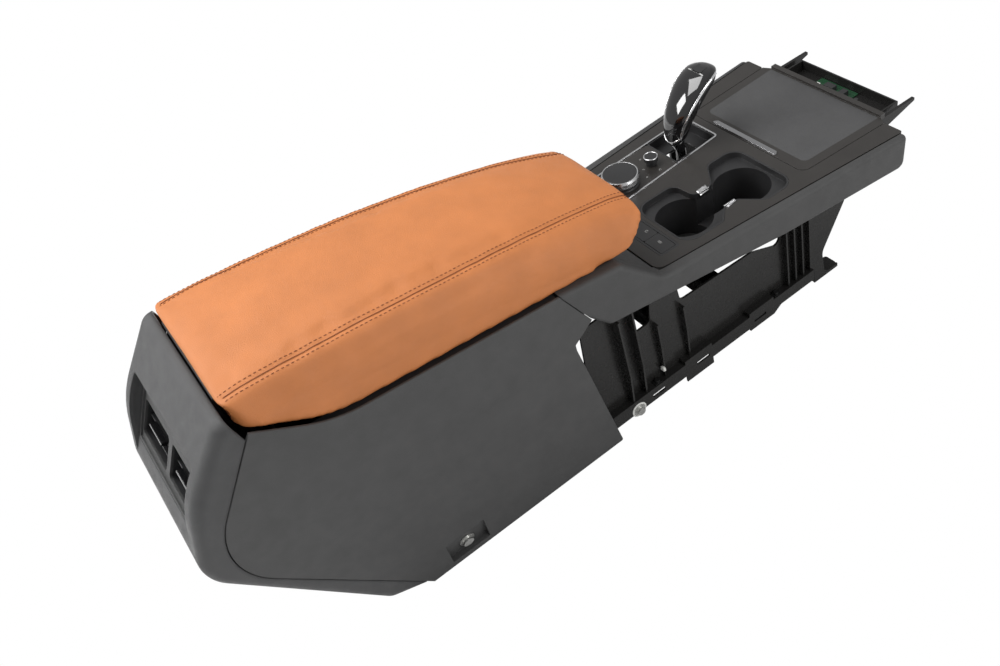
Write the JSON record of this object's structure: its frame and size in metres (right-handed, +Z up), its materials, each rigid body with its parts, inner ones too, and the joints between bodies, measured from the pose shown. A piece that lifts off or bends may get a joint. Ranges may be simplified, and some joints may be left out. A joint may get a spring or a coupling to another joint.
{
  "type": "floor console",
  "caption": "Car floor console with a padded hinged armrest over a storage bin, rear air outlets, cup wells, shift lever, rotary knobs and a sliding storage cover.",
  "frame": {"origin": "middle of the overall box at floor height", "axes": "+X to the car's right, +Y to its front, +Z up"},
  "size_m": [0.299, 1.0821, 0.4408],
  "materials": {
    "leather": "grained tan leather with stitched seams",
    "grained": "fine grained charcoal plastic",
    "soft_skin": "soft grained skin",
    "satin_deck": "satin dark plate",
    "black_plastic": "plain black",
    "gloss_black": "polished black",
    "carrier": "semi-matt black moulding",
    "chrome": "bright plated",
    "silver": "satin silver",
    "steel": "zinc plated",
    "mat_rubber": "ribbed rubber",
    "board": "lacquered board",
    "white_plastic": "natural white"
  },
  "bodies": {
    "console": {"bin_front_trim": "grained", "bin_mat": "mat_rubber", "board_connectors": "white_plastic", "button_frame": "black_plastic", "circuit_board": "board", "control_panel": "satin_deck", "cross_members": "carrier", "cup_grips": "chrome", "cup_holder_liner": "black_plastic", "cup_mats": "mat_rubber", "deck_plate": "satin_deck", "frame_bolts": "steel", "frame_clips": "steel", "front_tray": "black_plastic", "harness_plugs": "black_plastic", "hinge_bracket": "steel", "hinge_pin": "steel", "latch_striker": "steel", "left_cover_rail": "carrier", "left_fascia": "soft_skin", "left_side_frame": "carrier", "left_side_panel": "grained", "panel_bolts": "steel", "rear_end_cap": "grained", "right_cover_rail": "carrier", "right_fascia": "soft_skin", "right_side_frame": "carrier", "right_side_panel": "grained", "rotary_collar": "black_plastic", "shifter_base": "black_plastic", "shifter_frame": "silver", "shifter_pivot_pin": "steel", "shifter_well": "black_plastic", "storage_bin": "black_plastic", "vent_bezel": "grained", "vent_duct": "black_plastic"},
    "armrest": {"armrest_base": "black_plastic", "armrest_cushion": "leather", "hinge_leaf": "steel"},
    "release": {"armrest_release": "black_plastic"},
    "cover": {"cover_panel": "satin_deck", "cover_inset": "satin_deck", "cover_handle": "chrome"},
    "lever": {"shift_lever": "gloss_black", "lever_trim": "chrome"},
    "park_key": {"park_button": "chrome"},
    "rotary": {"rotary_knob": "silver", "rotary_cap": "black_plastic"},
    "volume": {"volume_knob": "black_plastic"},
    "button_1": {"console_button_1": "black_plastic"},
    "button_2": {"console_button_2": "black_plastic"},
    "vane_left_1": {"vent_vane_left_1": "black_plastic"},
    "vane_left_2": {"vent_vane_left_2": "black_plastic", "vent_tab_left": "gloss_black"},
    "vane_left_3": {"vent_vane_left_3": "black_plastic"},
    "vane_right_1": {"vent_vane_right_1": "black_plastic"},
    "vane_right_2": {"vent_vane_right_2": "black_plastic", "vent_tab_right": "gloss_black"},
    "vane_right_3": {"vent_vane_right_3": "black_plastic"}
  },
  "joints": [
    {"name": "armrest_hinge", "type": "hinge", "parent": "console", "child": "armrest", "pos_m": [0, -0.4309, 0.424], "axis": [1, 0, 0], "range_deg": [0, 70]},
    {"name": "release_press", "type": "slide", "parent": "armrest", "child": "release", "axis": [0, 0, 1], "range_m": [0, 0.003], "stiffness_N_per_m": 300, "springref_m": -0.001},
    {"name": "cover_slide", "type": "slide", "parent": "console", "child": "cover", "axis": [0, 0.999, -0.045], "range_m": [0, 0.1]},
    {"name": "lever_tilt", "type": "hinge", "parent": "console", "child": "lever", "pos_m": [-0.066, 0.26566, 0.18198], "axis": [1, 0, 0], "range_deg": [-8, 8]},
    {"name": "park_press", "type": "slide", "parent": "lever", "child": "park_key", "axis": [0, -0.045, -0.999], "range_m": [0, 0.0015], "stiffness_N_per_m": 300, "springref_m": -0.001},
    {"name": "rotary_turn", "type": "hinge", "parent": "console", "child": "rotary", "pos_m": [-0.059, 0.15784, 0.23289], "axis": [0, 0.045, 0.999], "continuous": true},
    {"name": "volume_turn", "type": "hinge", "parent": "console", "child": "volume", "pos_m": [-0.06, 0.21179, 0.23046], "axis": [0, 0.045, 0.999], "continuous": true},
    {"name": "button_1_press", "type": "slide", "parent": "console", "child": "button_1", "axis": [0, -0.045, -0.999], "range_m": [0, 0.0015], "stiffness_N_per_m": 300, "springref_m": -0.001},
    {"name": "button_2_press", "type": "slide", "parent": "console", "child": "button_2", "axis": [0, -0.045, -0.999], "range_m": [0, 0.0015], "stiffness_N_per_m": 300, "springref_m": -0.001},
    {"name": "vane_left_1_tilt", "type": "hinge", "parent": "console", "child": "vane_left_1", "pos_m": [0, -0.50302, 0.30394], "axis": [1, 0, 0], "range_deg": [-25, 25]},
    {"name": "vane_left_2_tilt", "type": "hinge", "parent": "console", "child": "vane_left_2", "pos_m": [0, -0.49463, 0.31697], "axis": [1, 0, 0], "range_deg": [-25, 25]},
    {"name": "vane_left_3_tilt", "type": "hinge", "parent": "console", "child": "vane_left_3", "pos_m": [0, -0.48625, 0.33001], "axis": [1, 0, 0], "range_deg": [-25, 25]},
    {"name": "vane_right_1_tilt", "type": "hinge", "parent": "console", "child": "vane_right_1", "pos_m": [0, -0.50302, 0.30394], "axis": [1, 0, 0], "range_deg": [-25, 25]},
    {"name": "vane_right_2_tilt", "type": "hinge", "parent": "console", "child": "vane_right_2", "pos_m": [0, -0.49463, 0.31697], "axis": [1, 0, 0], "range_deg": [-25, 25]},
    {"name": "vane_right_3_tilt", "type": "hinge", "parent": "console", "child": "vane_right_3", "pos_m": [0, -0.48625, 0.33001], "axis": [1, 0, 0], "range_deg": [-25, 25]}
  ],
  "couplings": [
    {"joint": "vane_left_1_tilt", "follows": "vane_left_2_tilt", "ratio": 1},
    {"joint": "vane_left_3_tilt", "follows": "vane_left_2_tilt", "ratio": 1},
    {"joint": "vane_right_1_tilt", "follows": "vane_right_2_tilt", "ratio": 1},
    {"joint": "vane_right_3_tilt", "follows": "vane_right_2_tilt", "ratio": 1}
  ]
}
